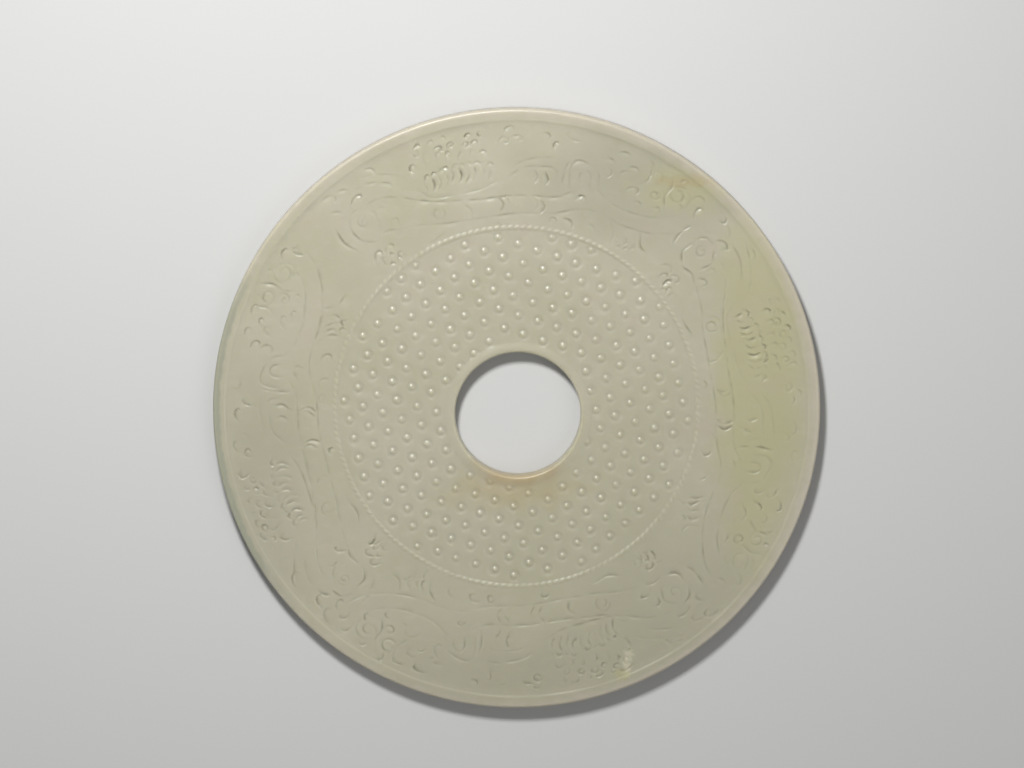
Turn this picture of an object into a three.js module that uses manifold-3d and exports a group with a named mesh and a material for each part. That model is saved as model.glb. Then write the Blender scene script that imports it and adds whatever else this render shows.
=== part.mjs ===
// A jade bi: a flat stone disc with a round hole, cut from one piece and carved on both faces.
// Millimetres, +Z up. The disc lies flat with its underside on z = 0 and its centre on the Z axis.
// Each face has a plain rim, an outer band, a rope ring, a field of grain bosses and a plain lip
// round the hole. The upper face also has four groups of dragon lines cut into its outer band.

import * as THREE from 'three';
import { mergeVertices } from 'three/addons/utils/BufferGeometryUtils.js';
import Module from 'manifold-3d';

const wasm = await Module();
wasm.setup();

// The disc
const DISC_DIAMETER = 165;
const DISC_THICKNESS = 6;
const EDGE_BEVEL = 0.6;
const RIM_WIDTH = 2.9;
const STEP_SLOPE = 0.35;

// The hole, which was drilled a little off centre, and its lip, which falls away outwards
const HOLE_DIAMETER = 34.1;
const HOLE_OFFSET_X = 0.35;
const HOLE_OFFSET_Y = -0.9;
const HOLE_BEVEL = 0.5;
const LIP_WIDTH = 2.3;
const LIP_DROP = 0.08;

// How far the two sunk grounds lie below the rim
const BAND_DEPTH = 0.2;
const FIELD_DEPTH = 0.3;

// The rope ring between the two grounds, which has its own centre too
const ROPE_RADIUS = 49.4;
const ROPE_OFFSET_Y = 1;
const ROPE_WIDTH = 1.5;
const ROPE_DROP = 0.04;

// The grain bosses stand on a mat pattern of two slanting rows
const GRAIN_ROW_PITCH = 5.53;
const GRAIN_ROW_DEGREES = -17.55;
const GRAIN_CROSS_PITCH = 5.32;
const GRAIN_CROSS_DEGREES = -137.8;
const GRAIN_START_X = 3.13;
const GRAIN_START_Y = -3.38;
const GRAIN_RADIUS = 1.6;
const GRAIN_HEIGHT = 0.26;
const GRAIN_GAP = 0.1;

// The dragon lines of the outer band
const GROUP_DEGREES = [2.8, 90.3, 180.3, 266.6];
const LINE_WIDTH = 0.8;
const LINE_DEPTH = 0.12;
const LINE_PASS = 0.1;
const EYE_RADIUS = 2.3;

// How far a cutter passes the surface that it cuts, and how deep an added form is rooted
const PASS = 1;
const ROOT = 0.5;

// Facets round the disc, the hole and one grain boss
const DISC_FACETS = 60;
const HOLE_FACETS = 30;
const GRAIN_FACETS = 6;
const UNDERSIDE_GRAIN_FACETS = 4;

const discRadius = DISC_DIAMETER / 2;
const holeRadius = HOLE_DIAMETER / 2;
const rimInner = discRadius - RIM_WIDTH;
const lipOuter = holeRadius + LIP_WIDTH;
const holeCentre = new THREE.Vector2(HOLE_OFFSET_X, HOLE_OFFSET_Y);
const ropeCentre = new THREE.Vector2(0, ROPE_OFFSET_Y);

const jade = new THREE.MeshStandardMaterial({
  name: 'jade',
  color: new THREE.Color(0.43, 0.4, 0.29),
  roughness: 0.38,
  metalness: 0,
});

function toSolid(geometry) {
  geometry.deleteAttribute('normal');
  geometry.deleteAttribute('uv');
  const merged = mergeVertices(geometry);
  return new wasm.Manifold(new wasm.Mesh({
    numProp: 3,
    vertProperties: new Float32Array(merged.attributes.position.array),
    triVerts: new Uint32Array(merged.index.array),
  }));
}

function toGeometry(solid) {
  const mesh = solid.getMesh();
  const geometry = new THREE.BufferGeometry();
  geometry.setAttribute('position', new THREE.BufferAttribute(mesh.vertProperties, 3));
  geometry.setIndex(new THREE.BufferAttribute(mesh.triVerts, 1));
  geometry.computeVertexNormals();
  return geometry;
}

// A turned form about the Z axis, from its section as [radius, height] pairs, anticlockwise
function turned(section, facets) {
  const points = [...section, section[0]].map(([radius, height]) => new THREE.Vector2(radius, height));
  const geometry = new THREE.LatheGeometry(points, facets);
  return geometry.rotateX(Math.PI / 2);
}

// Takes a form from one face's own frame, where that face's rim is at height 0 and outside is up,
// to the disc. side is 1 for the upper face and -1 for the underside, which is turned over.
function onFace(geometry, side, centre = new THREE.Vector2()) {
  geometry.translate(centre.x, side * centre.y, 0);
  if (side < 0) {
    geometry.rotateX(Math.PI);
  }
  geometry.translate(0, 0, side > 0 ? DISC_THICKNESS : 0);
  return toSolid(geometry);
}

// The plain blank, with its outer edge bevelled
function blank() {
  const section = [
    [0, 0],
    [discRadius - EDGE_BEVEL, 0],
    [discRadius, EDGE_BEVEL],
    [discRadius, DISC_THICKNESS - EDGE_BEVEL],
    [discRadius - EDGE_BEVEL, DISC_THICKNESS],
    [0, DISC_THICKNESS],
  ];
  return toSolid(turned(section, DISC_FACETS));
}

// Sinks a round ground of the given radius at the top, with sloping sides
function sunkGround(radius, depth, side, centre) {
  const bottom = radius - STEP_SLOPE;
  const top = radius + STEP_SLOPE * PASS / depth;
  const section = [[0, -depth], [bottom, -depth], [top, PASS], [0, PASS]];
  return onFace(turned(section, DISC_FACETS), side, centre);
}

// The plain lip round the hole
function lip(side) {
  const section = [
    [0, -FIELD_DEPTH - ROOT],
    [lipOuter + STEP_SLOPE / 2, -FIELD_DEPTH - ROOT],
    [lipOuter + STEP_SLOPE / 2, -FIELD_DEPTH],
    [lipOuter - STEP_SLOPE / 2, -LIP_DROP],
    [holeRadius, 0],
    [0, 0],
  ];
  return onFace(turned(section, HOLE_FACETS), side, holeCentre);
}

// The hole, with a bevel at each face
function hole() {
  const flare = HOLE_BEVEL + PASS;
  const section = [
    [0, -PASS],
    [holeRadius + flare, -PASS],
    [holeRadius, HOLE_BEVEL],
    [holeRadius, DISC_THICKNESS - HOLE_BEVEL],
    [holeRadius + flare, DISC_THICKNESS + PASS],
    [0, DISC_THICKNESS + PASS],
  ];
  const geometry = turned(section, HOLE_FACETS);
  geometry.translate(HOLE_OFFSET_X, HOLE_OFFSET_Y, 0);
  return toSolid(geometry);
}

// The rope ring, a low ridge over the step between the two grounds
function ropeRing(side) {
  const inner = ROPE_RADIUS - ROPE_WIDTH / 2;
  const outer = ROPE_RADIUS + ROPE_WIDTH / 2;
  const section = [
    [inner, -FIELD_DEPTH - ROOT],
    [outer, -FIELD_DEPTH - ROOT],
    [outer, -BAND_DEPTH],
    [ROPE_RADIUS, -ROPE_DROP],
    [inner, -FIELD_DEPTH],
  ];
  return onFace(turned(section, DISC_FACETS), side, ropeCentre);
}

// The step from one grain boss to the next in a row
function grainStep(pitch, degrees) {
  const angle = THREE.MathUtils.degToRad(degrees);
  return new THREE.Vector2(pitch * Math.cos(angle), pitch * Math.sin(angle));
}

// The places of the grain bosses: all places of the two rows that lie clear of lip and rope
function grainPlaces() {
  const row = grainStep(GRAIN_ROW_PITCH, GRAIN_ROW_DEGREES);
  const cross = grainStep(GRAIN_CROSS_PITCH, GRAIN_CROSS_DEGREES);
  const start = new THREE.Vector2(GRAIN_START_X, GRAIN_START_Y);
  const nearest = lipOuter + GRAIN_GAP;
  const farthest = ROPE_RADIUS - ROPE_WIDTH - GRAIN_GAP;
  const reach = Math.ceil(2 * ROPE_RADIUS / GRAIN_CROSS_PITCH);
  const places = [];
  for (let i = -reach; i <= reach; i += 1) {
    for (let j = -reach; j <= reach; j += 1) {
      const place = start.clone().addScaledVector(row, i).addScaledVector(cross, j);
      const clearOfLip = place.distanceTo(holeCentre) > nearest;
      const clearOfRope = place.distanceTo(ropeCentre) < farthest;
      if (clearOfLip && clearOfRope) {
        places.push(place);
      }
    }
  }
  return places;
}

// One grain boss, a low pointed form rooted in the field
function grain(side, place) {
  const facets = side > 0 ? GRAIN_FACETS : UNDERSIDE_GRAIN_FACETS;
  const height = GRAIN_HEIGHT + ROOT;
  const widened = GRAIN_RADIUS * height / GRAIN_HEIGHT;
  const geometry = new THREE.ConeGeometry(widened, height, facets);
  geometry.rotateX(Math.PI / 2);
  geometry.rotateZ(THREE.MathUtils.degToRad(side * GRAIN_ROW_DEGREES));
  geometry.translate(0, 0, GRAIN_HEIGHT - FIELD_DEPTH - height / 2);
  return onFace(geometry, side, place);
}

// A point of the outer band: degrees clockwise from a group's middle, and the share of the way
// from the rope ring to the rim
function bandPoint(group, degrees, share) {
  const angle = THREE.MathUtils.degToRad(GROUP_DEGREES[group] + degrees);
  const inner = ROPE_RADIUS + ROPE_WIDTH / 2;
  const radius = inner + (rimInner - inner) * share;
  return new THREE.Vector3(radius * Math.sin(angle), radius * Math.cos(angle), -BAND_DEPTH);
}

// A V-shaped cutter along a curve through the given points
function cutLine(points, steps) {
  const widened = LINE_WIDTH / 2 * (1 + LINE_PASS / LINE_DEPTH);
  const section = new THREE.Shape([
    new THREE.Vector2(LINE_DEPTH, 0),
    new THREE.Vector2(-LINE_PASS, widened),
    new THREE.Vector2(-LINE_PASS, -widened),
  ]);
  const path = new THREE.CatmullRomCurve3(points);
  const geometry = new THREE.ExtrudeGeometry(section, { steps, bevelEnabled: false, extrudePath: path });
  return onFace(geometry, 1);
}

// The dragon's round eye, at the left of its group
function eyeLine(group) {
  const centre = bandPoint(group, -41, 0.53);
  const corners = 6;
  const points = [];
  for (let i = 0; i < corners; i += 1) {
    const angle = 2 * Math.PI * i / corners;
    const spoke = new THREE.Vector3(Math.cos(angle), Math.sin(angle), 0);
    points.push(spoke.multiplyScalar(EYE_RADIUS).add(centre));
  }
  return cutLine(points, corners - 1);
}

// The row of short leaning strokes over the dragon's back
function maneLines(group) {
  const [first, last, spacing, lean] = [-24, -10, 4, 1];
  const [foot, tip] = [0.48, 0.67];
  const lines = [];
  for (let degrees = first; degrees <= last; degrees += spacing) {
    lines.push(cutLine([bandPoint(group, degrees, foot), bandPoint(group, degrees + lean, tip)], 1));
  }
  return lines;
}

// One group of dragon lines. The points of the curves are degrees from the group's middle and
// shares of the band's width.
function dragonLines(group) {
  const curves = {
    back: { steps: 4, through: [[-38.5, 0.64], [-30.5, 0.53], [-21.5, 0.36], [-3, 0.3], [11, 0.42]] },
    belly: { steps: 5, through: [[-36, 0.32], [-23, 0.16], [-3, 0.13], [15, 0.26], [27, 0.28], [39, 0.55]] },
    horn: { steps: 2, through: [[-36.5, 0.91], [-32.5, 0.82], [-28, 0.68]] },
    crest: { steps: 3, through: [[-4.5, 0.53], [1, 0.66], [6.5, 0.66]] },
    arch: { steps: 3, through: [[10.2, 0.45], [10.5, 0.65], [14, 0.67], [17, 0.5]] },
    tail: { steps: 5, through: [[17.5, 0.49], [26, 0.42], [35, 0.6], [36.5, 0.73], [33, 0.79], [31, 0.7]] },
    claw: { steps: 2, through: [[28, 0.2], [31, 0.08], [34, 0.22]] },
  };
  const drawn = Object.values(curves).map(({ steps, through }) => (
    cutLine(through.map(([degrees, share]) => bandPoint(group, degrees, share)), steps)
  ));
  return [eyeLine(group), ...drawn, ...maneLines(group)];
}

// The disc with the relief of both faces and the dragon lines
function bi() {
  let body = blank();
  for (const side of [1, -1]) {
    body = body.subtract(sunkGround(rimInner, BAND_DEPTH, side));
    body = body.subtract(sunkGround(ROPE_RADIUS, FIELD_DEPTH, side, ropeCentre));
    body = body.add(ropeRing(side));
    body = body.add(lip(side));
    for (const place of grainPlaces()) {
      body = body.add(grain(side, place));
    }
  }
  body = body.subtract(hole());
  GROUP_DEGREES.forEach((_, group) => {
    for (const line of dragonLines(group)) {
      body = body.subtract(line);
    }
  });
  return body;
}

const disc = new THREE.Mesh(toGeometry(bi()), jade);
disc.name = 'bi_disc';

const model = new THREE.Group();
model.add(disc);

export default model;
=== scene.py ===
"""A jade bi: a flat disc of old nephrite with a round hole, carved on both faces.

The carved surface is one mesh. Its points lie close where the carving is fine and wide apart
where it is plain, and a height function gives each point its depth below the rim. Lengths are
in millimetres until the mesh is made.
"""

import math

import bpy
import numpy as np
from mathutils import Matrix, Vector, kdtree
from mathutils.geometry import delaunay_2d_cdt


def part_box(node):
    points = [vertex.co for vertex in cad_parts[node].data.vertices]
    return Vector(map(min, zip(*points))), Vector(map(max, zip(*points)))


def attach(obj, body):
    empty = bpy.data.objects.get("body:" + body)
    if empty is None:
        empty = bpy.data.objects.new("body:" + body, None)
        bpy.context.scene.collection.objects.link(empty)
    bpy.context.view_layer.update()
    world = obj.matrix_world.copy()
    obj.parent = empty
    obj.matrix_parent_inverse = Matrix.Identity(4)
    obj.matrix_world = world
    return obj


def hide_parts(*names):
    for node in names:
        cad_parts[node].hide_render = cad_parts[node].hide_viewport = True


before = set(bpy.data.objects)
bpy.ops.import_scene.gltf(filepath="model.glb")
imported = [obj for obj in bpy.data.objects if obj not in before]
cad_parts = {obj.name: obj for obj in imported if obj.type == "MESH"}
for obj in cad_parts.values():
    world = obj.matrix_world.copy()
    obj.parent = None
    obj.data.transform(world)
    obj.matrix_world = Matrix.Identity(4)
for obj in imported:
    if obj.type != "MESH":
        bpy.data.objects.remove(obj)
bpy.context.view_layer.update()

MM = 0.001
NODE = "bi_disc"
SEED = 7

# The disc, from the frame
box_low, box_high = (np.array(corner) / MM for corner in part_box(NODE))
DISC_RADIUS = float(box_high[0] - box_low[0]) / 2
THICKNESS = float(box_high[2] - box_low[2])

# Rim, hole and lip
RIM_WIDTH = 2.9
RIM_STEP = 0.9
EDGE_ROUND = 0.8
HOLE_RADIUS = 17.05
HOLE_CENTRE = np.array([0.35, -0.9])
HOLE_ROUND = 0.8
LIP_WIDTH = 2.3

# Depths of the band, the grain field and the lip below the rim
BAND_DEPTH = 0.2
FIELD_DEPTH = 0.3
LIP_DEPTH = 0.08
LIP_SLOPE = 1.9

# The rope ring. Its crest stands just below the rim.
ROPE_RADIUS = 49.4
ROPE_CENTRE = np.array([0.0, 1.0])
ROPE_HALF_WIDTH = 0.8
ROPE_CREST = -0.07
ROPE_STRANDS = 172
ROPE_TWIST = 1.1
ROPE_NOTCH = 0.12
ROPE_ROUNDNESS = 1.4

# The grain bosses, on a mat of two slanting rows
GRAIN_ROW_PITCH, GRAIN_ROW_DEGREES = 5.53, -17.55
GRAIN_CROSS_PITCH, GRAIN_CROSS_DEGREES = 5.32, -137.8
GRAIN_START = np.array([3.13, -3.38])
GRAIN_RADIUS = 1.25
GRAIN_HEIGHT = 0.185
GRAIN_MARGIN = 0.6
MOAT_RADIUS = 1.95
MOAT_DEPTH = 0.14
MOAT_DARKENING = 0.1
FIELD_FADE = 0.9
LANE_HALF_WIDTH = 0.5
LANE_DEPTH = 0.03
LANE_SPACING = GRAIN_CROSS_PITCH * math.sin(math.radians(60))

# How unevenly the bosses are cut: shares of their sizes, and spread of their place and lean
GRAIN_HEIGHTS = (0.8, 1.08)
MOAT_DEPTHS = (0.8, 1.15)
GRAIN_RADII = (0.88, 1.05)
GRAIN_OFF_CENTRE = 0.09
GRAIN_TILT = 0.055

# The lower bosses are steeper. The change begins and ends at these distances below the middle.
LOW_START, LOW_END = 5.0, 35.0
LOW_DEEPER, LOW_NARROWER = 0.3, 0.1

# The incised dragon lines. A line has a sharp and a soft side. The weights are the lowest and
# highest for a short line, which is cut deeper, and then those for a long one.
GROUP_DEGREES = (2.8, 90.3, 180.3, 266.6)
LINE_SHARP_SIDE = 0.35
LINE_SOFT_SIDE = 1.0
LINE_MIDDLE = 0.1
LINE_CLEAR = (1.0, 2.2)
LINE_DEPTH = 0.135
LINE_DARK_REACH = 1.5
LINE_LENGTHS = (3.0, 14.0)
LINE_WEIGHTS = ((0.5, 1.6), (0.25, 0.75))
LINE_END_DEPTH, LINE_END_RISE = 0.3, 4
LINE_WEAR = 1.05
WEAR_SLOWEST, WEAR_FASTEST = (0.25, 0.7), (0.6, 1.6)
HAND_SHAKE = 0.3
CURVE_STEP = 0.1
CURL_STEPS = 40
MANE_STROKES = 10
BODY_HALF_WIDTH = 3.2
BODY_SWELL = 0.07
BODY_CLEAR = (1.0, 3.0)

# Long low waves that grinding by hand left in both faces
WAVE_HEIGHT = 0.03
WAVE_LENGTHS = (9.0, 26.0)
WAVE_COUNT = 40

# Points of the mesh. The rings of a boss are given by radius and number of points, the rings of
# the rim by their distance inside the edge, those of the lip by their distance outside the hole,
# and those of the rope by their share of its half width.
TOP_GRAIN_STEPS = 5
UNDER_GRAIN_STEPS = 4
TOP_BOSS_RINGS = (
    (0.0, 1), (0.25, 6), (0.5, 10), (0.75, 14), (1.0, 16), (1.25, 16), (1.6, 16), (1.95, 16),
)
UNDER_BOSS_RINGS = ((0.0, 1), (0.4, 5), (0.8, 8), (1.3, 9), (1.9, 9))
RIM_RINGS = (1.3, 2.0, 2.4, 2.75, 2.9, 3.05, 3.2, 3.35, 3.7)
LIP_RINGS = (1.2, 1.6, 2.0, 2.15, 2.3, 2.45, 2.65, 3.0)
ROPE_RINGS = (-1.3, -0.95, -0.65, -0.35, -0.1, 0.15, 0.4, 0.7, 1.0, 1.3)
ROPE_STRAND_POINTS = 6
UNDER_ROPE_POINTS = 270
RIM_POINTS = 432
HOLE_POINTS = 150
LINE_STEP = 0.6
LINE_ROWS = (-1.05, -0.6, -0.25, 0.0, 0.16, 0.36, 0.65)
BAND_SPACING = 1.5
UNDER_SPACING = 2.6
GRID_SHAKE = 0.25
WALL_ROUND_STEPS = 6
WALL_STEPS = 5
BODY_SAMPLE_STEP = 5
HOLE_FILL_REACH = 0.98 * HOLE_ROUND
CDT_TRIANGLES, CDT_JOIN = 0, 1e-6
TINY = 1e-9

# How far such points stay from each other and from the rings above
MAT_TO_ROPE, MAT_TO_LIP, MAT_TO_MOAT = 1.2, 3.2, 0.15
BOSS_TO_ROPE, BOSS_TO_LIP = 0.9, 2.7
LINE_TO_ROPE, LINE_TO_EDGE = 1.15, 3.9
GRID_TO_ROPE, GRID_TO_EDGE, GRID_TO_LINE = 1.8, 4.4, 1.2
LINE_CELL = 0.23
POINT_CELL = 0.12

rim_inner = DISC_RADIUS - RIM_WIDTH
band_inner = ROPE_RADIUS + ROPE_HALF_WIDTH
band_middle = (band_inner + rim_inner) / 2


def smooth(value, start, end):
    """0 before start, 1 after end, and an even rise between."""
    share = np.clip((value - start) / (end - start), 0, 1)
    return share * share * (3 - 2 * share)


def ring(centre, radius, count):
    """Points spread evenly round a circle."""
    turn = np.arange(count) * 2 * math.pi / count
    return np.asarray(centre) + radius * np.stack([np.cos(turn), np.sin(turn)], 1)


def from_hole(points):
    """How far each point is outside the hole's wall."""
    return np.linalg.norm(points - HOLE_CENTRE, axis=1) - HOLE_RADIUS


def from_rope(points):
    """How far each point is outside the rope's crest, with less than 0 for points inside it."""
    return np.linalg.norm(points - ROPE_CENTRE, axis=1) - ROPE_RADIUS


# Grain bosses

def mat_vector(pitch, degrees):
    return pitch * np.array([math.cos(math.radians(degrees)), math.sin(math.radians(degrees))])


mat_rows = np.stack([
    mat_vector(GRAIN_ROW_PITCH, GRAIN_ROW_DEGREES),
    mat_vector(GRAIN_CROSS_PITCH, GRAIN_CROSS_DEGREES),
])


def mat_places(steps):
    """Points of the mat, with each pitch cut into the given number of steps."""
    reach = math.ceil(2 * ROPE_RADIUS / GRAIN_CROSS_PITCH) * steps
    i, j = np.meshgrid(np.arange(-reach, reach + 1), np.arange(-reach, reach + 1))
    index = np.stack([i.ravel(), j.ravel()], 1)
    places = GRAIN_START + index / steps @ mat_rows
    return places[np.linalg.norm(places - ROPE_CENTRE, axis=1) < ROPE_RADIUS]


def grain_places():
    """Places of the bosses: all points of the mat that are clear of the lip and the rope."""
    places = mat_places(1)
    clear_of_lip = from_hole(places) > LIP_WIDTH + GRAIN_MARGIN
    clear_of_rope = from_rope(places) < -ROPE_HALF_WIDTH - GRAIN_MARGIN
    return places[clear_of_lip & clear_of_rope]


def grain_relief(points, places, rng):
    """Height of the bosses, each a dome in a drilled ring, a little uneven as handwork is. The
    lower ones are cut steeper, as their stronger highlights in the photo show."""
    number, _ = nearest(points, places)
    low = smooth(-places[:, 1], LOW_START, LOW_END)[number]
    off_centre = rng.normal(0, GRAIN_OFF_CENTRE, places.shape)[number]
    tilt = rng.normal(0, GRAIN_TILT, places.shape)[number]
    away = points - places[number] - off_centre
    distance = np.linalg.norm(away, axis=1)
    height = GRAIN_HEIGHT * rng.uniform(*GRAIN_HEIGHTS, len(places))[number]
    moat = MOAT_DEPTH * rng.uniform(*MOAT_DEPTHS, len(places))[number] * (1 + LOW_DEEPER * low)
    radius = GRAIN_RADIUS * rng.uniform(*GRAIN_RADII, len(places))[number] * (1 - LOW_NARROWER * low)
    dome = height - (height + moat) * smooth(distance, 0, radius)
    dome += (away * tilt).sum(axis=1) * (1 - smooth(distance, radius / 2, radius))
    shore = -moat * (1 - smooth(distance, radius, MOAT_RADIUS))
    return np.where(distance < radius, dome, shore)


def grain_points(places, rings):
    """Rings of mesh points on each boss and its moat."""
    around = np.vstack([ring((0, 0), radius, count) for radius, count in rings])
    return (places[:, None, :] + around[None]).reshape(-1, 2)


def from_grain(points):
    """How far each point is from the nearest point of the mat."""
    index = (points - GRAIN_START) @ np.linalg.inv(mat_rows)
    off = (index - np.round(index)) @ mat_rows
    return np.linalg.norm(off, axis=1)


def lane_relief(points):
    """Depth of the straight lanes between the rows, in three directions."""
    index = (points - GRAIN_START) @ np.linalg.inv(mat_rows)
    depth = np.zeros(len(points))
    for along in (index[:, 0], index[:, 1], index[:, 0] - index[:, 1]):
        off_lane = np.abs(along % 1 - 0.5) * LANE_SPACING
        depth = np.maximum(depth, LANE_DEPTH * (1 - smooth(off_lane, 0, LANE_HALF_WIDTH)))
    return depth


# Dragon lines: points are (along the band clockwise, outwards) from a group's middle

def curve(*through):
    """Close points along a smooth curve through the given ones."""
    p = np.array(through, float)
    p = np.vstack([2 * p[0] - p[1], p, 2 * p[-1] - p[-2]])
    out = []
    for a, b, c, d in zip(p, p[1:], p[2:], p[3:]):
        steps = max(2, int(np.linalg.norm(c - b) / CURVE_STEP))
        t = np.arange(steps)[:, None] / steps
        out.append(0.5 * (2 * b + (c - a) * t + (2 * a - 5 * b + 4 * c - d) * t ** 2
                          + (3 * b - a - 3 * c + d) * t ** 3))
    return np.vstack(out + [p[-2:-1]])


def curl(centre, outer, inner, start, turns):
    """A spiral from its outer end inwards. start is in degrees, turns are anticlockwise."""
    steps = max(8, int(abs(turns) * CURL_STEPS))
    t = np.linspace(0, 1, steps)
    angle = math.radians(start) + 2 * math.pi * turns * t
    radius = outer + (inner - outer) * t
    return np.asarray(centre) + radius[:, None] * np.stack([np.cos(angle), np.sin(angle)], 1)


def hook(s, t, size, degrees):
    """A short stroke with a hooked end."""
    turn = math.radians(degrees)
    flat = np.array([(-1.0, -0.25), (-0.2, 0.1), (0.6, 0.0), (1.0, -0.55), (0.7, -0.9)]) * size
    spin = np.array([[math.cos(turn), math.sin(turn)], [-math.sin(turn), math.cos(turn)]])
    return curve(*(flat @ spin + (s, t)))


def mane():
    """The row of curved strokes over the dragon's back."""
    strokes = []
    for k in range(MANE_STROKES):
        s = -27.6 + 1.9 * k
        lift = 0.9 * math.sin(math.pi * k / (MANE_STROKES - 1))
        strokes.append(curve((s - 0.5, -1.2 + lift), (s + 0.4, 0.5 + lift), (s + 0.1, 2.2 + lift)))
        strokes.append(curve((s + 0.1, 3.0 + lift), (s + 0.9, 3.8 + lift), (s + 1.6, 2.9 + lift)))
    return strokes


def cloud_scrolls():
    """Small curls and hooks under the rim, over mane and tail."""
    strokes = [hook(-49.6, 12.6, 1.7, -25), hook(-46.0, 11.0, 1.5, -35), hook(-29.2, 7.4, 1.2, 70)]
    for k in range(6):
        s, t = -27.4 + 2.9 * k, 10.4 - 0.3 * k
        strokes.append(curl((s, t + 0.4 * (k % 2)), 1.1, 0.35, 130 + 25 * k, -1.0))
        strokes.append(hook(s + 1.5, t - 1.9, 0.9, 80 - 12 * k))
        strokes.append(hook(s + 1.0, t + 2.2, 0.9, 20 + 15 * k))
    strokes += [
        curl((-6.0, 9.2), 1.3, 0.4, 200, -1.2),
        hook(-3.0, 10.4, 1.3, -15),
        hook(-5.0, 12.4, 1.1, 30),
        hook(3.0, 11.4, 1.6, 10),
        hook(5.6, 9.0, 1.1, 70),
        hook(9.6, 11.0, 1.3, 160),
        hook(20.4, 8.6, 1.5, -30),
        hook(24.0, 6.6, 1.1, 50),
        hook(22.6, 11.8, 1.2, 0),
    ]
    return strokes


def head():
    """Eye, brow, jaws and horn."""
    return [
        curl((-46.8, 1.2), 1.7, 0.4, 60, 1.3),
        curve((-44.2, -1.8), (-43.0, 1.4), (-44.8, 4.0)),
        curve((-46.2, 5.4), (-48.8, 5.0), (-50.4, 3.0)),
        curve((-50.6, 0.8), (-50.6, -2.4), (-48.4, -4.4)),
        curve((-53.6, 4.4), (-54.4, 0.2), (-53.4, -3.4)),
        curve((-47.0, -5.0), (-43.6, -4.4), (-41.0, -5.4)),
        hook(-50.4, -7.4, 1.7, 30),
        hook(-46.2, -8.0, 1.6, 10),
        hook(-49.8, 7.8, 1.6, -60),
        hook(-45.2, 7.8, 1.5, 15),
        hook(-42.0, 0.4, 1.4, 75),
        hook(-40.4, -2.8, 1.4, 20),
        curve((-41.8, 12.4), (-37.4, 10.2), (-33.6, 7.6), (-31.6, 5.6)),
        curve((-43.4, 9.4), (-39.4, 8.4), (-35.6, 5.8)),
        hook(-38.6, 12.2, 1.8, -30),
    ]


def loops():
    """The two arches after the mane, and the hooks round them."""
    return [
        curve((-4.8, 1.6), (-2.0, 3.6), (3.9, 4.9), (7.6, 4.8)),
        curve((-5.4, -0.8), (-1.6, 1.8), (3.4, 2.4), (6.8, 2.2), (7.8, -1.2)),
        curve((9.6, -2.9), (9.2, 1.0), (9.6, 4.4)),
        curve((11.4, -1.9), (10.8, 2.8), (12.2, 5.5), (15.5, 5.1), (18.4, 3.4), (19.6, 0.2)),
        curve((13.8, -1.2), (13.3, 1.8), (14.4, 3.3), (16.2, 2.4), (16.8, -0.6)),
        curve((1.6, 0.6), (2.6, -1.0), (2.0, -2.6)),
        curve((5.0, 0.4), (5.6, -1.4), (4.8, -3.0)),
        hook(15.4, -3.6, 1.5, 20),
        hook(20.6, 5.4, 1.7, -60),
    ]


def tail():
    """The tail's long curve, its curl, and the crowd of small strokes over it."""
    return [
        curve((19.6, 0.2), (24.0, -2.0), (30.0, -2.2), (36.4, -0.2), (41.4, 4.2)),
        curve((24.0, -6.6), (31.0, -6.4), (38.0, -4.2), (44.0, 0.6), (46.4, 6.2)),
        curl((38.4, 8.4), 3.0, 0.8, -30, 1.5),
        curl((31.6, 9.6), 2.0, 0.6, 200, 1.2),
        curl((33.4, 5.2), 1.6, 0.5, 60, -1.2),
        curve((34.0, 12.8), (35.4, 9.6), (35.2, 6.4), (36.4, 4.2)),
        curve((28.4, 5.4), (29.8, 8.2), (29.4, 11.6)),
        hook(27.4, 3.4, 1.7, 35),
        hook(41.8, 11.0, 1.9, 65),
        hook(44.4, 8.4, 1.6, 90),
        hook(28.6, 12.4, 1.3, -10),
        hook(37.0, 12.6, 1.0, 40),
        hook(31.6, 12.6, 0.9, 90),
        hook(40.6, 6.2, 1.1, -50),
        hook(26.0, 9.0, 1.0, 20),
        hook(35.6, 2.2, 1.0, 10),
        hook(31.0, 1.6, 0.9, -20),
    ]


def claws():
    """Hooked toes below the body, with the leg strokes that they hang on."""
    strokes = []
    for k in range(3):
        s, t = 30.0 + 2.3 * k, -9.2 + 0.9 * k
        strokes.append(curve((s, t), (s + 1.5, t - 1.4), (s + 1.2, t - 2.9)))
        strokes.append(hook(s + 2.0, t - 3.0, 0.9, 30 * k))
        strokes.append(hook(-49.6 + 2.4 * k, -10.4 - 0.8 * k, 1.2, 60 + 20 * k))
        strokes.append(hook(-48.4 + 2.6 * k, -12.4, 0.8, 10 + 40 * k))
    strokes += [
        curve((26.0, -7.6), (28.6, -9.8), (29.6, -12.2)),
        curve((36.4, -6.0), (38.6, -8.6), (41.8, -8.8)),
        curl((8.6, -12.2), 1.5, 0.4, 180, -1.1),
        hook(13.8, -11.0, 1.8, -20),
        curve((-36.8, -11.6), (-33.0, -13.2), (-27.6, -12.8)),
        hook(-10.0, -13.0, 1.4, 0),
        hook(22.0, -10.6, 1.6, -35),
    ]
    return strokes


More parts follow.
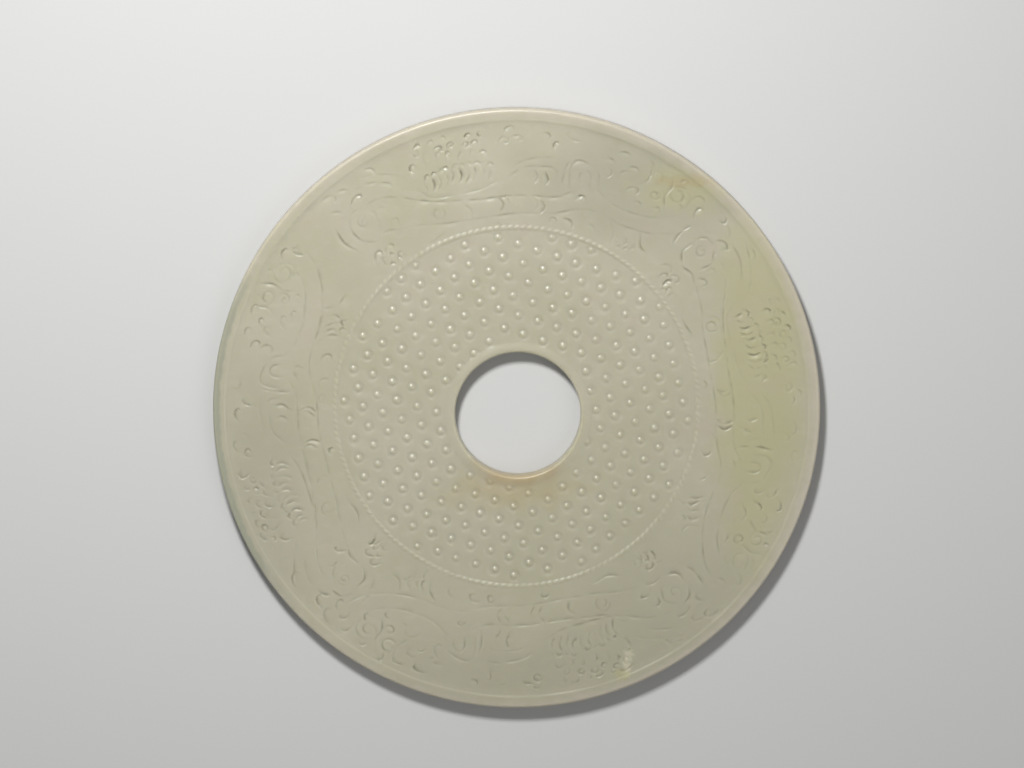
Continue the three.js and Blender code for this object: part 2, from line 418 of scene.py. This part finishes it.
def body():
    """Back and belly, the shoulder's curl, and short strokes across."""
    strokes = [
        curve((-43.0, 4.4), (-39.6, 3.9), (-34.4, 0.9), (-31.0, -1.5), (-24.6, -4.2),
              (-14.0, -6.0), (-3.6, -5.7), (7.8, -5.3), (12.8, -2.8)),
        curve((-41.0, -5.4), (-34.0, -7.4), (-26.0, -10.0), (-14.0, -11.2), (-3.0, -10.8),
              (8.0, -10.2), (17.0, -7.2), (24.0, -6.6)),
        curve((-9.0, -1.8), (-13.0, -3.3), (-19.0, -3.6), (-27.0, -2.6), (-30.0, 0.6)),
        curl((-27.4, -7.0), 2.4, 0.9, 160, -1.4),
        curve((-18.4, -6.6), (-16.8, -8.4), (-17.2, -10.4)),
    ]
    for s in (-8.0, -6.2, 2.4, 4.2):
        strokes.append(curve((s, -6.0), (s + 1.3, -8.2), (s + 0.1, -10.2)))
    return strokes


def dragon():
    """All lines of one group."""
    return [*body(), *head(), *mane(), *loops(), *tail(), *claws(), *cloud_scrolls()]


def on_band(line, degrees):
    """Takes a line of a group to the disc."""
    turn = math.radians(degrees) + line[:, 0] / band_middle
    radius = band_middle + line[:, 1]
    return np.stack([radius * np.sin(turn), radius * np.cos(turn)], 1)


def all_lines(rng):
    """Every incised line on the disc, each drawn a little differently in each group."""
    lines = []
    for degrees in GROUP_DEGREES:
        for line in dragon():
            shake = rng.normal(0, HAND_SHAKE, (2, 2))
            share = np.linspace(0, 1, len(line))[:, None]
            lines.append(on_band(line + shake[0] * (1 - share) + shake[1] * share, degrees))
    return lines


def line_sides(lines):
    """The direction square to each line at each of its points."""
    sides = []
    for line in lines:
        ahead = np.gradient(line, axis=0)
        ahead /= np.linalg.norm(ahead, axis=1)[:, None] + TINY
        sides.append(np.stack([-ahead[:, 1], ahead[:, 0]], 1))
    return np.vstack(sides)


def body_middle():
    """Samples along the middle of every dragon's body."""
    middle = curve((-50.0, 0.4), (-44.0, 0.4), (-36.0, -3.4), (-26.0, -7.0), (-14.0, -8.6),
                   (-3.0, -8.2), (8.0, -7.8), (18.0, -5.0), (28.0, -4.4), (38.0, -2.2), (45.0, 4.0))
    middle = middle[::BODY_SAMPLE_STEP]
    return np.vstack([on_band(middle, degrees) for degrees in GROUP_DEGREES])


def line_points(line):
    """Rows of mesh points along and beside an incised line."""
    length = np.cumsum(np.r_[0, np.linalg.norm(np.diff(line, axis=0), axis=1)])
    count = max(3, int(length[-1] / LINE_STEP) + 1)
    at = np.linspace(0, length[-1], count)
    middle = np.stack([np.interp(at, length, line[:, k]) for k in (0, 1)], 1)
    ahead = np.gradient(middle, axis=0)
    ahead /= np.linalg.norm(ahead, axis=1)[:, None]
    beside = np.stack([-ahead[:, 1], ahead[:, 0]], 1)
    return np.vstack([middle + beside * row for row in LINE_ROWS])


def nearest(points, samples):
    """The number of the sample nearest to each point, and how far off that sample is."""
    tree = kdtree.KDTree(len(samples))
    for number, (x, y) in enumerate(samples):
        tree.insert((x, y, 0), number)
    tree.balance()
    found = np.array([tree.find((x, y, 0))[1:] for x, y in points])
    return found[:, 0].astype(int), found[:, 1]


def line_depths(lines):
    """How deep each line is cut at each of its points: shallow at its ends, and worn unevenly."""
    rng = np.random.default_rng(SEED + 1)
    depths = []
    for line in lines:
        length = np.linalg.norm(np.diff(line, axis=0), axis=1).sum()
        long_share = smooth(length, *LINE_LENGTHS)
        low, high = (short + (long - short) * long_share for short, long in zip(*LINE_WEIGHTS))
        share = np.linspace(0, 1, len(line))
        ends = np.minimum(1, LINE_END_DEPTH + LINE_END_RISE * np.minimum(share, 1 - share))
        start = rng.uniform(0, math.tau, 2)
        swing = start + share[:, None] * length * rng.uniform(WEAR_SLOWEST, WEAR_FASTEST)
        wear = np.maximum(0, 1 + LINE_WEAR * np.sin(swing).mean(axis=1))
        depths.append(rng.uniform(low, high) * ends * wear)
    return np.concatenate(depths)


# Height of one face below the rim's plane

def rope_relief(points, ground, twisted):
    """Lays the rope's ridge over the ground."""
    off = from_rope(points)
    round_top = np.cos(np.clip(off / ROPE_HALF_WIDTH, -1, 1) * math.pi / 2) ** ROPE_ROUNDNESS
    crest = ground + (ROPE_CREST - ground) * round_top
    if twisted:
        arm = points - ROPE_CENTRE
        turn = np.arctan2(arm[:, 1], arm[:, 0])
        phase = turn * ROPE_STRANDS + off / ROPE_HALF_WIDTH * ROPE_TWIST * math.pi / 2
        crest = crest - ROPE_NOTCH * round_top * (0.5 - 0.5 * np.cos(phase)) ** 2
    return np.where(np.abs(off) < ROPE_HALF_WIDTH, crest, ground)


def waves(points):
    """Long low waves in every direction."""
    rng = np.random.default_rng(SEED + 2)
    total = np.zeros(len(points))
    for _ in range(WAVE_COUNT):
        length = rng.uniform(*WAVE_LENGTHS)
        turn, start = rng.uniform(0, math.tau), rng.uniform(0, math.tau)
        along = points @ (math.cos(turn), math.sin(turn))
        total += np.sin(along * math.tau / length + start) * length
    return total / (np.mean(WAVE_LENGTHS) * math.sqrt(WAVE_COUNT))


def face_height(points, places, lines, rng):
    """Height of the upper face, or of the underside where there are no lines, and how much darker
    its hollows are coloured."""
    distance = np.linalg.norm(points, axis=1)
    off_rope, off_hole = from_rope(points), from_hole(points)
    in_field = 1 - smooth(off_rope, -ROPE_HALF_WIDTH, ROPE_HALF_WIDTH)
    height = -BAND_DEPTH - (FIELD_DEPTH - BAND_DEPTH) * in_field + WAVE_HEIGHT * waves(points)
    inside = (off_rope < -ROPE_HALF_WIDTH) & (off_hole > LIP_WIDTH)
    bosses = grain_relief(points[inside], places, rng) - lane_relief(points[inside])
    fade = smooth(-off_rope[inside], ROPE_HALF_WIDTH, ROPE_HALF_WIDTH + FIELD_FADE)
    fade *= smooth(off_hole[inside], LIP_WIDTH, LIP_WIDTH + FIELD_FADE)
    height[inside] += bosses * fade
    # How much darker the moats and the lines are coloured
    hollow_dark = np.zeros(len(points))
    hollow_dark[inside] = np.clip(-bosses * fade / MOAT_DEPTH, 0, 1) * MOAT_DARKENING
    height = rope_relief(points, height, bool(lines))
    if lines:
        swell = nearest(points, body_middle())[1]
        height += BODY_SWELL * (1 - smooth(swell, 0, BODY_HALF_WIDTH)) * smooth(off_rope, *BODY_CLEAR)
        samples = np.vstack(lines)
        number, near = nearest(points, samples)
        beside = ((points - samples[number]) * line_sides(lines)[number]).sum(axis=1)
        to_sharp = smooth(beside, -LINE_MIDDLE, LINE_MIDDLE)
        width = LINE_SOFT_SIDE + (LINE_SHARP_SIDE - LINE_SOFT_SIDE) * to_sharp
        depth = line_depths(lines)[number]
        height -= LINE_DEPTH * depth * (1 - smooth(near, 0, width)) * smooth(off_rope, *LINE_CLEAR)
        hollow_dark = np.maximum(hollow_dark, depth * (1 - smooth(near, 0, LINE_SHARP_SIDE * LINE_DARK_REACH)))
    lip = 1 - smooth(off_hole, LIP_WIDTH - LIP_SLOPE / 2, LIP_WIDTH + LIP_SLOPE / 2)
    height = height * (1 - lip) - LIP_DEPTH * lip * smooth(off_hole, 0, LIP_WIDTH)
    rim = smooth(distance, rim_inner - RIM_STEP, rim_inner)
    height = height * (1 - rim)
    return height, hollow_dark * (1 - lip) * (1 - rim)


# Points of one face

def thinned(points, cell):
    """Keeps the first point of each cell of a grid, so that no two lie almost together."""
    _, first = np.unique(np.round(points / cell).astype(int), axis=0, return_index=True)
    return points[np.sort(first)]


def face_points(lines, steps, spacing, rng):
    """The edge's ring, the hole's ring, then all others of one face. The underside, which has no
    lines, has fewer points."""
    edge = ring((0, 0), DISC_RADIUS - EDGE_ROUND, RIM_POINTS)
    hole = ring(HOLE_CENTRE, HOLE_RADIUS + HOLE_ROUND, HOLE_POINTS)
    share = 1 if lines else 2
    rope_points = ROPE_STRANDS * ROPE_STRAND_POINTS if lines else UNDER_ROPE_POINTS
    others = [ring((0, 0), DISC_RADIUS - off, RIM_POINTS // share) for off in RIM_RINGS]
    others += [ring(HOLE_CENTRE, HOLE_RADIUS + off, HOLE_POINTS // share) for off in LIP_RINGS]
    for off in ROPE_RINGS:
        others.append(ring(ROPE_CENTRE, ROPE_RADIUS + ROPE_HALF_WIDTH * off, rope_points))
    bosses = grain_points(grain_places(), TOP_BOSS_RINGS if lines else UNDER_BOSS_RINGS)
    others.append(bosses[(from_rope(bosses) < -BOSS_TO_ROPE) & (from_hole(bosses) > BOSS_TO_LIP)])
    mat = mat_places(steps)
    mat = mat[(from_rope(mat) < -MAT_TO_ROPE) & (from_hole(mat) > MAT_TO_LIP)]
    others.append(mat[from_grain(mat) > MOAT_RADIUS + MAT_TO_MOAT])
    spread = np.arange(-DISC_RADIUS, DISC_RADIUS, spacing)
    grid = np.stack(np.meshgrid(spread, spread), -1).reshape(-1, 2)
    grid += rng.uniform(-GRID_SHAKE, GRID_SHAKE, grid.shape) * spacing
    off_edge = DISC_RADIUS - np.linalg.norm(grid, axis=1)
    grid = grid[(from_rope(grid) > GRID_TO_ROPE) & (off_edge > GRID_TO_EDGE)]
    if lines:
        grid = grid[nearest(grid, np.vstack(lines))[1] > GRID_TO_LINE]
        cut = thinned(np.vstack([line_points(line) for line in lines]), LINE_CELL)
        off_edge = DISC_RADIUS - np.linalg.norm(cut, axis=1)
        others.append(cut[(from_rope(cut) > LINE_TO_ROPE) & (off_edge > LINE_TO_EDGE)])
    others.append(grid)
    return edge, hole, thinned(np.vstack(others), POINT_CELL)


def face_mesh(lines, steps, spacing, rng):
    """Points of one face as (x, y, height), with both rings first, how much darker they are coloured,
    and the face's triangles. Those that close the hole are left out."""
    edge, hole, others = face_points(lines, steps, spacing, rng)
    points = np.vstack([edge, hole, others])
    flat = [Vector(point) for point in points.tolist()]
    _, _, faces, from_point, _, _ = delaunay_2d_cdt(flat, [], [], CDT_TRIANGLES, CDT_JOIN)
    triangles = np.array([[from_point[corner][0] for corner in face] for face in faces])
    middle = points[triangles].mean(axis=1)
    triangles = triangles[from_hole(middle) > HOLE_FILL_REACH]
    height, hollow_dark = face_height(points, grain_places(), lines, rng)
    return np.column_stack([points, height]), hollow_dark, triangles


def wall(radii, heights, centre, count):
    """Rings of a rounded wall, without the first and the last, which belong to the faces."""
    rings = [np.column_stack([ring(centre, r, count), np.full(count, h)])
             for r, h in zip(radii[1:-1], heights[1:-1])]
    return np.vstack(rings)


def rounded_wall(radius, round_off, outward):
    """Radii and heights of a wall's section from the upper face to the underside."""
    turn = np.radians(np.linspace(90, 0, WALL_ROUND_STEPS))
    radii = radius + outward * round_off * (np.cos(turn) - 1)
    heights = THICKNESS - round_off + round_off * np.sin(turn)
    middle = np.linspace(THICKNESS - round_off, round_off, WALL_STEPS)[1:-1]
    radii = np.r_[radii, np.full(len(middle), radius), radii[::-1]]
    heights = np.r_[heights, middle, THICKNESS - heights[::-1]]
    return radii, heights


def stitch(rows, flip):
    """Triangles between rings of point numbers."""
    out = []
    for above, below in zip(rows, rows[1:]):
        a, b = above, np.roll(above, -1)
        c, d = below, np.roll(below, -1)
        out += [np.stack([a, c, b], 1), np.stack([b, c, d], 1)]
    triangles = np.vstack(out)
    return triangles[:, ::-1] if flip else triangles


def disc_mesh():
    """Both faces and both walls, joined into one closed surface."""
    rng = np.random.default_rng(SEED)
    lines = all_lines(rng)
    top, top_hollow_dark, top_faces = face_mesh(lines, TOP_GRAIN_STEPS, BAND_SPACING, rng)
    under, under_hollow_dark, under_faces = face_mesh([], UNDER_GRAIN_STEPS, UNDER_SPACING, rng)
    top[:, 2] += THICKNESS
    under[:, 2] *= -1
    edge_radii, edge_heights = rounded_wall(DISC_RADIUS, EDGE_ROUND, 1)
    hole_radii, hole_heights = rounded_wall(HOLE_RADIUS, HOLE_ROUND, -1)
    edge = wall(edge_radii, edge_heights, (0, 0), RIM_POINTS)
    hole = wall(hole_radii, hole_heights, HOLE_CENTRE, HOLE_POINTS)
    points = np.vstack([top, under, edge, hole])
    n_top, n_under = len(top), len(under)
    edge_rows = [np.arange(RIM_POINTS)]
    for k in range(len(edge) // RIM_POINTS):
        edge_rows.append(n_top + n_under + k * RIM_POINTS + np.arange(RIM_POINTS))
    edge_rows.append(n_top + np.arange(RIM_POINTS))
    hole_rows = [RIM_POINTS + np.arange(HOLE_POINTS)]
    for k in range(len(hole) // HOLE_POINTS):
        hole_rows.append(n_top + n_under + len(edge) + k * HOLE_POINTS + np.arange(HOLE_POINTS))
    hole_rows.append(n_top + RIM_POINTS + np.arange(HOLE_POINTS))
    triangles = np.vstack([
        top_faces,
        under_faces[:, ::-1] + n_top,
        stitch(edge_rows, False),
        stitch(hole_rows, True),
    ])
    hollow_dark = np.concatenate([top_hollow_dark, under_hollow_dark, np.zeros(len(edge) + len(hole))])
    return points, hollow_dark, triangles


def make_disc():
    """The disc as an object. The material reads from an attribute how much darker its hollows are."""
    points, hollow_dark, triangles = disc_mesh()
    mesh = bpy.data.meshes.new("carved_disc")
    mesh.from_pydata((points * MM).tolist(), [], triangles.tolist())
    mesh.attributes.new("hollow_dark", "FLOAT", "POINT").data.foreach_set("value", hollow_dark)
    mesh.shade_smooth()
    disc = bpy.data.objects.new("carved_disc", mesh)
    bpy.context.scene.collection.objects.link(disc)
    return disc


# Materials

PALE = (0.44, 0.417, 0.325)
GREENER = (0.405, 0.388, 0.28)
# Painted shade: the colour of darker patches that stand for less light falling there
PAINTED_SHADE = (0.34, 0.325, 0.25)
OLIVE = (0.41, 0.395, 0.225)
BROWN = (0.34, 0.22, 0.10)
TAN = (0.40, 0.30, 0.12)
CHALK = (0.66, 0.63, 0.47)
MILKY = (0.56, 0.54, 0.44)
# A darker tone for the moats and the incised lines
HOLLOW_TONE = (0.24, 0.225, 0.14)
BLUSH = (0.44, 0.38, 0.31)
# Painted highlight: the pale pink of the edge where it catches the light
EDGE_HIGHLIGHT_PINK = (0.53, 0.47, 0.42)
# Painted shade: the darker grey-green of the edge's left side
EDGE_SHADE_GREY_GREEN = (0.305, 0.312, 0.245)

# Clouding of the stone: size, detail, stretch and shift of the noise, the noise's values at no and
# at full colour, share and colour
CLOUDS = (
    (24, 4, (1, 1, 1), 0, 0.35, 0.65, 0.6, GREENER),
    (5, 5, (1, 1.8, 1), 7, 0.5, 0.75, 0.16, MILKY),
    (1.3, 3, (1, 1, 1), 3, 0.3, 0.7, 0.08, GREENER),
)
BLOTCHES = ((11, 3, (1, 1, 1), 21, 0.56, 0.72, 0.22, BLUSH),)

# Stains and patches of painted shade: centre, reach, softness, raggedness, size and shift of the
# noise, share and colour
WIDE_SHADE_AND_STAINS = (
    # The first four rows are painted shade, darker patches that add to the light's fall-off across
    # the face
    ((38, 63), (28, 14), 0.7, 0.3, 12, 10, 0.62, PAINTED_SHADE),
    ((4, -72), (40, 9), 0.7, 0.3, 12, 14, 0.46, PAINTED_SHADE),
    ((42, -56), (24, 20), 0.7, 0.3, 12, 9, 0.45, PAINTED_SHADE),
    ((-71, -22), (12, 32), 0.7, 0.3, 12, 17, 0.4, PAINTED_SHADE),
    ((65.5, 8), (10.5, 44), 0.5, 0.3, 14, 0, 0.65, OLIVE),
    ((10, -48), (40, 24), 0.6, 0.4, 12, 5, 0.35, GREENER),
)
SMALL_STAINS = (
    ((0, -21.5), (15, 5), 0.8, 0.5, 4, 6, 0.3, TAN),
    ((46.5, 62.8), (8, 1.6), 0.5, 0.55, 2.5, 8, 0.45, BROWN),
    ((46, 61), (13, 6), 0.6, 0.4, 5, 9, 0.5, OLIVE),
    ((30.7, -67.9), (1.12, 2.4), 0.5, 0.7, 1, 11, 0.32, CHALK),
    ((30.0, -70.2), (0.77, 1.65), 0.5, 0.7, 1, 12, 0.32, CHALK),
    ((30.4, -72.2), (0.77, 1.65), 0.5, 0.7, 1, 13, 0.32, CHALK),
    ((28.9, -73), (2.2, 1.6), 0.5, 0.4, 2, 15, 0.6, OLIVE),
)

# Detail of a spot's noise, and how far a raggedness of 1 moves its edge
SPOT_DETAIL = 4
SPOT_SWING = 4

# Spots given like stains, for the brown crescent below the hole, which lies where two of them
# meet, the painted highlight of the pale edge, which lies outside one, and the painted shade of the
# grey-green left edge
HOLE_DISC = (HOLE_CENTRE, (HOLE_RADIUS + 2.6, HOLE_RADIUS + 2.6), 0.09, 0.06, 4, 4)
BELOW_HOLE = ((1, -20), (14, 8), 0.7, 0.4, 4, 2)
CRESCENT_SHARE = 0.36
INSIDE_EDGE_HIGHLIGHT = ((-0.7, -0.2), (DISC_RADIUS - 1.3, DISC_RADIUS - 1.3), 0.02, 0.012, 3, 71)
EDGE_HIGHLIGHT_SHARE = 0.4
INSIDE_EDGE_SHADE = ((0, 0), (DISC_RADIUS - 1.9, DISC_RADIUS - 1.9), 0.006, 0.005, 3, 72)
SHADED_LEFT_SIDE = ((-90, -12), (34, 52), 0.3, 0.2, 12, 73)
EDGE_SHADE_SHARE = 0.8

# Darkening of the hollows, polish and the finest grain. Noise mostly stays within the first two
# values.
NOISE_RANGE = (0.3, 0.7)
HOLLOW_SHARES = (0.12, 0.42)
HOLLOW_NOISE_SIZE = 7
HOLLOW_ROUGHER = 0.12
POLISH = (0.31, 0.4)
POLISH_SIZE = 9
BUMP_SIZES = (0.5, 2.6)
BUMP_STRENGTH = 0.35
BUMP_DISTANCE = 0.00006

SUBSURFACE_RADII = (1.0, 0.95, 0.7)
SUBSURFACE_SCALE = 0.0025
JADE_IOR = 1.5


def new_material(name):
    material = bpy.data.materials.new(name)
    material.use_nodes = True
    return material, material.node_tree.nodes, material.node_tree.links


class Shade:
    """Node helpers of one material. Places are in millimetres on the disc."""

    def __init__(self, name):
        self.material, self.nodes, self.links = new_material(name)
        self.shader = self.nodes["Principled BSDF"]
        self.place = self.nodes.new("ShaderNodeTexCoord").outputs["Object"]

    def put(self, socket, value):
        """Links a socket, or sets a number or colour on it."""
        if isinstance(value, bpy.types.NodeSocket):
            self.links.new(value, socket)
        else:
            socket.default_value = value

    def math(self, kind, a, b=0.0):
        node = self.nodes.new("ShaderNodeMath")
        node.operation = kind
        self.put(node.inputs[0], a)
        self.put(node.inputs[1], b)
        return node.outputs[0]

    def spread(self, value, low, high, start=0.0, end=1.0):
        """Takes a value between low and high to between start and end, with soft ends."""
        node = self.nodes.new("ShaderNodeMapRange")
        node.interpolation_type = "SMOOTHSTEP"
        for name, number in (("Value", value), ("From Min", low), ("From Max", high),
                             ("To Min", start), ("To Max", end)):
            self.put(node.inputs[name], number)
        return node.outputs[0]

    def scaled_place(self, scale, shift):
        """The place on the disc, times a scale and plus a shift."""
        node = self.nodes.new("ShaderNodeVectorMath")
        node.operation = "MULTIPLY_ADD"
        self.links.new(self.place, node.inputs[0])
        node.inputs[1].default_value = scale
        node.inputs[2].default_value = shift
        return node.outputs[0]

    def noise(self, size, detail=3, stretch=(1, 1, 1), shift=0):
        """Noise from 0 to 1 with features of the given size."""
        node = self.nodes.new("ShaderNodeTexNoise")
        node.inputs["Scale"].default_value = 1.0
        node.inputs["Detail"].default_value = detail
        place = self.scaled_place([k / (size * MM) for k in stretch], (shift, shift, shift))
        self.links.new(place, node.inputs["Vector"])
        return node.outputs["Fac"]

    def spot(self, centre, reach, soft, ragged, size, shift):
        """1 inside an oval, 0 outside it, with a soft ragged edge."""
        place = self.scaled_place((1 / (reach[0] * MM), 1 / (reach[1] * MM), 0),
                                  (-centre[0] / reach[0], -centre[1] / reach[1], 0))
        far = self.nodes.new("ShaderNodeVectorMath")
        far.operation = "LENGTH"
        self.links.new(place, far.inputs[0])
        swing = self.math("SUBTRACT", self.noise(size, SPOT_DETAIL, shift=shift), 0.5)
        swing = self.math("MULTIPLY", swing, ragged * SPOT_SWING)
        edge = self.math("ADD", far.outputs["Value"], swing)
        return self.spread(edge, 1 - soft, 1 + soft, 1.0, 0.0)

    def tint(self, colour, mask, share, other):
        """The colour with a share of another one laid over it where the mask is 1."""
        node = self.nodes.new("ShaderNodeMix")
        node.data_type = "RGBA"
        self.put(node.inputs["Factor"], self.math("MULTIPLY", mask, share))
        self.put(node.inputs[6], colour)
        self.put(node.inputs[7], (*other, 1))
        return node.outputs[2]

    def cloud(self, colour, clouds):
        """The colour with a table of clouds laid over it in order."""
        for *noise, low, high, share, other in clouds:
            colour = self.tint(colour, self.spread(self.noise(*noise), low, high), share, other)
        return colour

    def lay_spots(self, colour, stains):
        """The colour with a table of spots laid over it in order: stains, and patches of painted
        shade.
        """
        for *spot, share, other in stains:
            colour = self.tint(colour, self.spot(*spot), share, other)
        return colour


def crescent(shade, colour):
    """Lays the brown crescent below the hole over the colour."""
    both = shade.math("MULTIPLY", shade.spot(*HOLE_DISC), shade.spot(*BELOW_HOLE))
    return shade.tint(colour, both, CRESCENT_SHARE, BROWN)


def painted_edge_light(shade, colour):
    """Lays painted light over the colour: a painted highlight along the pale edge and painted shade
    on the grey-green left edge.
    """
    edge_highlight = shade.math("SUBTRACT", 1.0, shade.spot(*INSIDE_EDGE_HIGHLIGHT))
    colour = shade.tint(colour, edge_highlight, EDGE_HIGHLIGHT_SHARE, EDGE_HIGHLIGHT_PINK)
    edge = shade.math("SUBTRACT", 1.0, shade.spot(*INSIDE_EDGE_SHADE))
    shaded_left_edge = shade.math("MULTIPLY", shade.spot(*SHADED_LEFT_SIDE), edge)
    return shade.tint(colour, shaded_left_edge, EDGE_SHADE_SHARE, EDGE_SHADE_GREY_GREEN)


def jade():
    """Pale old nephrite: cloudy and waxy, stained olive at the right and brown below the hole, and
    darker in its hollows, with patches of painted shade, a painted highlight along its pale edge and
    painted shade on its grey-green left edge."""
    shade = Shade("jade")
    shader = shade.shader
    colour = shade.cloud((*PALE, 1), CLOUDS)
    # Patches of painted shade, then the wide stains
    colour = shade.lay_spots(colour, WIDE_SHADE_AND_STAINS)
    colour = crescent(shade, colour)
    colour = shade.lay_spots(colour, SMALL_STAINS)
    colour = shade.cloud(colour, BLOTCHES)
    # Painted highlight along the pale edge, and painted shade on the left edge
    colour = painted_edge_light(shade, colour)
    # The moats and the lines are coloured darker, and a little rougher, by the attribute
    attribute = shade.nodes.new("ShaderNodeAttribute")
    attribute.attribute_name = "hollow_dark"
    hollow_dark = attribute.outputs["Fac"]
    hollow_share = shade.spread(shade.noise(HOLLOW_NOISE_SIZE, shift=31), *NOISE_RANGE, *HOLLOW_SHARES)
    colour = shade.tint(colour, hollow_dark, hollow_share, HOLLOW_TONE)
    shade.links.new(colour, shader.inputs["Base Color"])
    polish = shade.spread(shade.noise(POLISH_SIZE, 4, shift=41), *NOISE_RANGE, *POLISH)
    roughness = shade.math("ADD", polish, shade.math("MULTIPLY", hollow_dark, HOLLOW_ROUGHER))
    shade.links.new(roughness, shader.inputs["Roughness"])
    bump = shade.nodes.new("ShaderNodeBump")
    bump.inputs["Strength"].default_value = BUMP_STRENGTH
    bump.inputs["Distance"].default_value = BUMP_DISTANCE
    fine, coarse = (shade.noise(size, shift=shift) for size, shift in zip(BUMP_SIZES, (51, 61)))
    shade.links.new(shade.math("ADD", fine, coarse), bump.inputs["Height"])
    shade.links.new(bump.outputs["Normal"], shader.inputs["Normal"])
    shader.inputs["Subsurface Weight"].default_value = 1.0
    shader.inputs["Subsurface Radius"].default_value = SUBSURFACE_RADII
    shader.inputs["Subsurface Scale"].default_value = SUBSURFACE_SCALE
    shader.inputs["IOR"].default_value = JADE_IOR
    return shade.material


def plain(name, colour, roughness):
    material, nodes, _ = new_material(name)
    nodes["Principled BSDF"].inputs["Base Color"].default_value = (*colour, 1)
    nodes["Principled BSDF"].inputs["Roughness"].default_value = roughness
    return material


# Floor, light and camera

PHOTO_WIDTH, PHOTO_HEIGHT = 1024, 768
DISC_MIDDLE_PIXEL = (516.6, 411.6)
DISC_WIDTH_PIXELS = 607.6
VIEW_DISTANCE = 1.2
VIEW_TILT = math.radians(9)
SENSOR = 0.036
FLOOR_SIZE = 6
FLOOR_COLOUR, FLOOR_ROUGHNESS = (0.52, 0.52, 0.51), 0.8
WORLD_COLOUR, WORLD_STRENGTH = (0.8, 0.8, 0.8, 1), 0.27

# Lights: place and size in metres, and power in watts
KEY_LIGHT = ((-0.09, 0.3, 0.43), 0.08, 3.0)
FILL_LIGHT = ((1.75, -1.25, 3.0), 2.5, 22)


def make_floor():
    bpy.ops.mesh.primitive_plane_add(size=FLOOR_SIZE)
    floor = bpy.context.object
    floor.name = "floor"
    floor.data.materials.append(plain("floor", FLOOR_COLOUR, FLOOR_ROUGHNESS))


def area_light(name, place, size, power):
    """A square light that shines on the disc's middle."""
    data = bpy.data.lights.new(name, "AREA")
    data.energy, data.size = power, size
    lamp = bpy.data.objects.new(name, data)
    lamp.location = place
    lamp.rotation_euler = (-Vector(place)).to_track_quat("-Z", "Y").to_euler()
    bpy.context.scene.collection.objects.link(lamp)


def make_light():
    area_light("key", *KEY_LIGHT)
    area_light("fill", *FILL_LIGHT)
    world = bpy.data.worlds.new("studio")
    world.use_nodes = True
    background = world.node_tree.nodes["Background"]
    background.inputs["Color"].default_value = WORLD_COLOUR
    background.inputs["Strength"].default_value = WORLD_STRENGTH
    bpy.context.scene.world = world


def make_camera():
    """Above the disc, tipped towards +Y, and aimed so that the disc's middle is where it is in
    the photo."""
    metres_per_pixel = 2 * DISC_RADIUS * MM / DISC_WIDTH_PIXELS
    data = bpy.data.cameras.new("camera")
    data.sensor_width = SENSOR / MM
    data.lens = SENSOR / MM * VIEW_DISTANCE / (PHOTO_WIDTH * metres_per_pixel)
    camera = bpy.data.objects.new("camera", data)
    right = (PHOTO_WIDTH / 2 - DISC_MIDDLE_PIXEL[0]) * metres_per_pixel
    up = (DISC_MIDDLE_PIXEL[1] - PHOTO_HEIGHT / 2) * metres_per_pixel
    away = Vector((0, math.sin(VIEW_TILT), math.cos(VIEW_TILT)))
    screen_up = Vector((0, math.cos(VIEW_TILT), -math.sin(VIEW_TILT)))
    middle = Vector((0, 0, THICKNESS * MM))
    camera.location = middle + Vector((right, 0, 0)) + screen_up * up + away * VIEW_DISTANCE
    camera.rotation_euler = (-VIEW_TILT, 0, 0)
    bpy.context.scene.collection.objects.link(camera)
    bpy.context.scene.camera = camera


make_camera()
make_floor()
make_light()
bpy.context.scene.view_settings.view_transform = "Standard"

carved = make_disc()
carved.data.materials.append(jade())
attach(carved, "root")
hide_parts(NODE)
